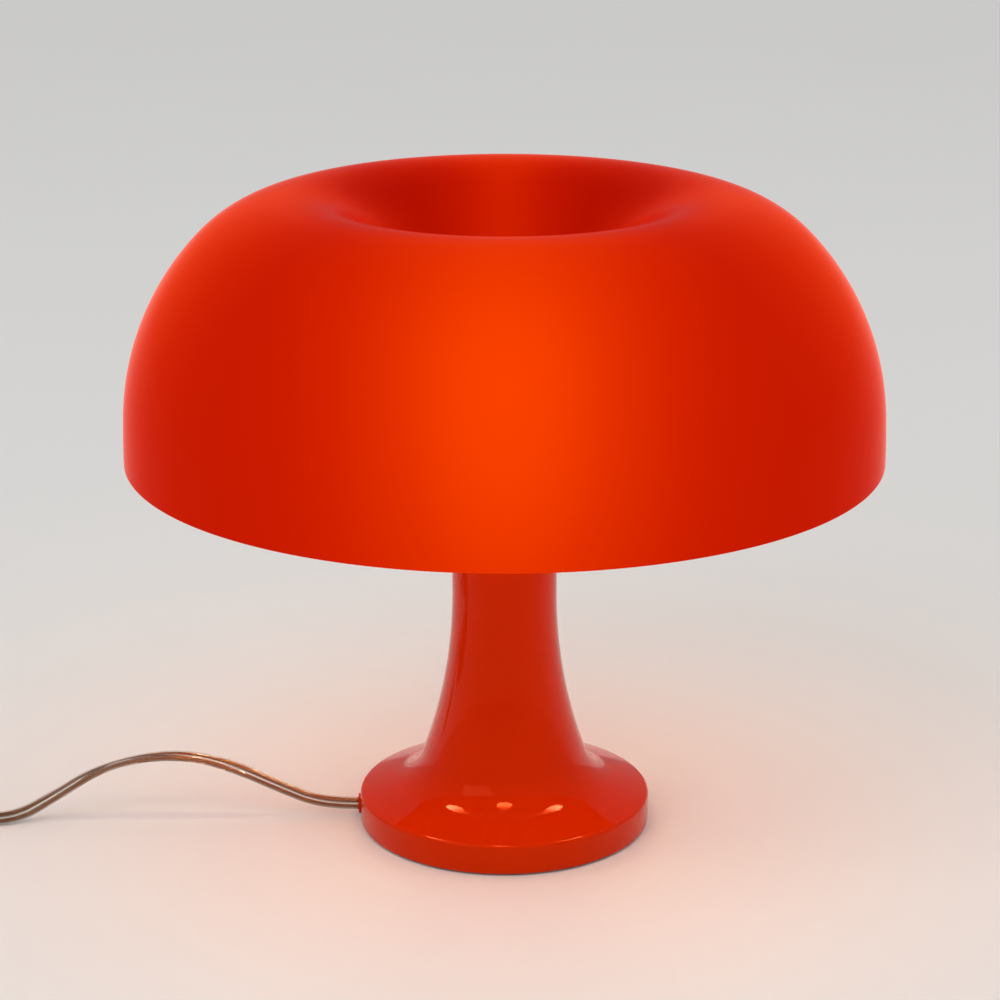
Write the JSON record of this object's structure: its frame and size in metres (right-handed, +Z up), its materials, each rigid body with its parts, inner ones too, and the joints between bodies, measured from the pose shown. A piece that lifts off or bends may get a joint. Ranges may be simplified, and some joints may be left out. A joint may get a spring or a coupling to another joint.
{
  "type": "mushroom table lamp",
  "caption": "Table lamp with a ring-shaped translucent shade that dips in the middle, on a trumpet-shaped foot, with a flat twin cord, inline switch and plug.",
  "frame": {"origin": "middle of the circle that the lamp stands on, at the table", "axes": "+Z up along the lamp's axis; the cord leaves the foot towards -X; the front of the picture looks along +Y"},
  "size_m": [0.5888, 0.32, 0.2777],
  "materials": {
    "shade_plastic": "translucent orange-red polycarbonate, glossy outside",
    "foot_plastic": "orange-red moulded plastic, high gloss",
    "opal_glass": "opal glass, lit",
    "cap_metal": "stamped and threaded",
    "brass": "bright",
    "zinc_steel": "zinc plated",
    "cast_hub": "white powder coat",
    "iron": "as cast, painted black",
    "rubber": "matt",
    "bakelite": "white moulded holder",
    "ceramic": "glazed ceramic",
    "silicone": "translucent silicone",
    "wire_insulation": "heat-proof sleeve",
    "clear_flex": "clear flat twin flex with copper cores",
    "black_plastic": "satin moulded plastic",
    "tungsten": "bare wire",
    "clear_glass": "clear glass",
    "nylon": "natural nylon"
  },
  "bodies": {
    "base": {"foot_moulding": "foot_plastic", "ballast_weight": "iron", "bottom_cover": "zinc_steel", "bottom_cover_screws": "zinc_steel", "floor_ring": "rubber", "stem_tube": "zinc_steel", "stem_washers": "zinc_steel", "stem_nuts": "zinc_steel", "hub_housing": "cast_hub", "hub_cover": "cast_hub", "hub_cover_screws": "zinc_steel", "shade_stud": "zinc_steel", "shade_seat_gasket": "silicone", "screw_shells": "brass", "centre_contacts": "brass", "holder_nuts": "zinc_steel", "bulb_tips": "cap_metal", "bulb_stems": "clear_glass", "bulb_filaments": "tungsten", "terminal_block": "ceramic", "terminal_screws": "brass", "supply_wires": "wire_insulation", "riser_wires": "wire_insulation", "connection_block": "ceramic", "holder_leads": "wire_insulation", "cord_grommet": "nylon", "cord_inner": "clear_flex", "cord_clamp_bar": "zinc_steel", "cord_clamp_screws": "zinc_steel", "cord_lead": "clear_flex", "cord_run": "clear_flex", "cord_coil": "clear_flex", "cord_tail": "clear_flex", "switch_lower_shell": "black_plastic", "switch_upper_shell": "black_plastic", "switch_pivot_pin": "zinc_steel", "switch_contacts": "brass", "switch_screws": "zinc_steel", "plug_body": "black_plastic", "plug_pins": "brass", "plug_pin_sleeves": "black_plastic", "bulb_holder_front": "bakelite", "bulb_glass_front": "opal_glass", "bulb_cap_front": "cap_metal", "bulb_holder_right": "bakelite", "bulb_glass_right": "opal_glass", "bulb_cap_right": "cap_metal", "bulb_holder_back": "bakelite", "bulb_glass_back": "opal_glass", "bulb_cap_back": "cap_metal", "bulb_holder_left": "bakelite", "bulb_glass_left": "opal_glass", "bulb_cap_left": "cap_metal"},
    "shade": {"shade_shell": "shade_plastic"},
    "lock_cap": {"lock_cap": "foot_plastic", "lock_cap_insert": "brass", "lock_cap_washer": "nylon"},
    "rocker": {"switch_rocker": "black_plastic", "switch_rocker_contact": "brass"}
  },
  "joints": [
    {"name": "shade_lift", "type": "slide", "parent": "base", "child": "shade", "axis": [0, 0, 1], "range_m": [0, 0.09]},
    {"name": "lock_cap_turn", "type": "hinge", "parent": "shade", "child": "lock_cap", "pos_m": [0, 0, 0.23], "axis": [0, 0, 1], "range_deg": [0, 3960]},
    {"name": "switch_rocker_tip", "type": "hinge", "parent": "base", "child": "rocker", "pos_m": [-0.285, -0.013, 0.0148], "axis": [0, -1, 0], "range_deg": [0, 16]}
  ]
}
